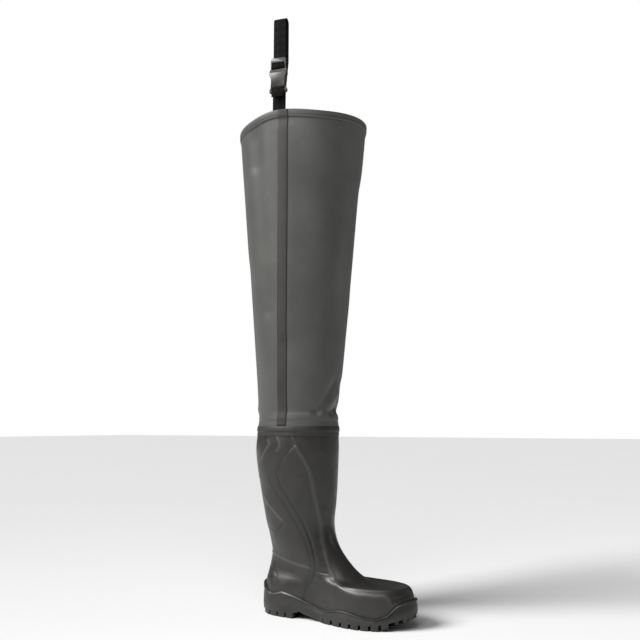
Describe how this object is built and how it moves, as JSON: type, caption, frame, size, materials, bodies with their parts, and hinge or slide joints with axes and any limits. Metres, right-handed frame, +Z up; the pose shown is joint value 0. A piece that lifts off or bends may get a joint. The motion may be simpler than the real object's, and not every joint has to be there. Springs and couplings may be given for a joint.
{
  "type": "hip wader",
  "caption": "Hip wader for the right foot: a lugged moulded boot joined to a tall coated-fabric leg, with a webbing belt loop and side-release buckle.",
  "frame": {"origin": "middle of the whole wader's footprint, on the floor", "axes": "+Z up the leg, +X towards the toe, +Y towards the inner side of the foot"},
  "size_m": [0.3494, 0.2286, 1.126],
  "materials": {
    "upper": "satin moulded",
    "outsole": "matt moulded",
    "sole_insert": "satin moulded",
    "insole": "felted",
    "leg": "coated, soft sheen",
    "tape": "coated, matt",
    "webbing": "woven",
    "buckle": "satin"
  },
  "bodies": {
    "root": {"upper": "upper", "outsole": "outsole", "sole_insert": "sole_insert", "insole": "insole", "leg": "leg", "seam_tape": "tape", "side_tape": "tape", "strap_short": "webbing", "strap_long": "webbing", "buckle_socket": "buckle", "buckle_tongue": "buckle"}
  },
  "joints": []
}
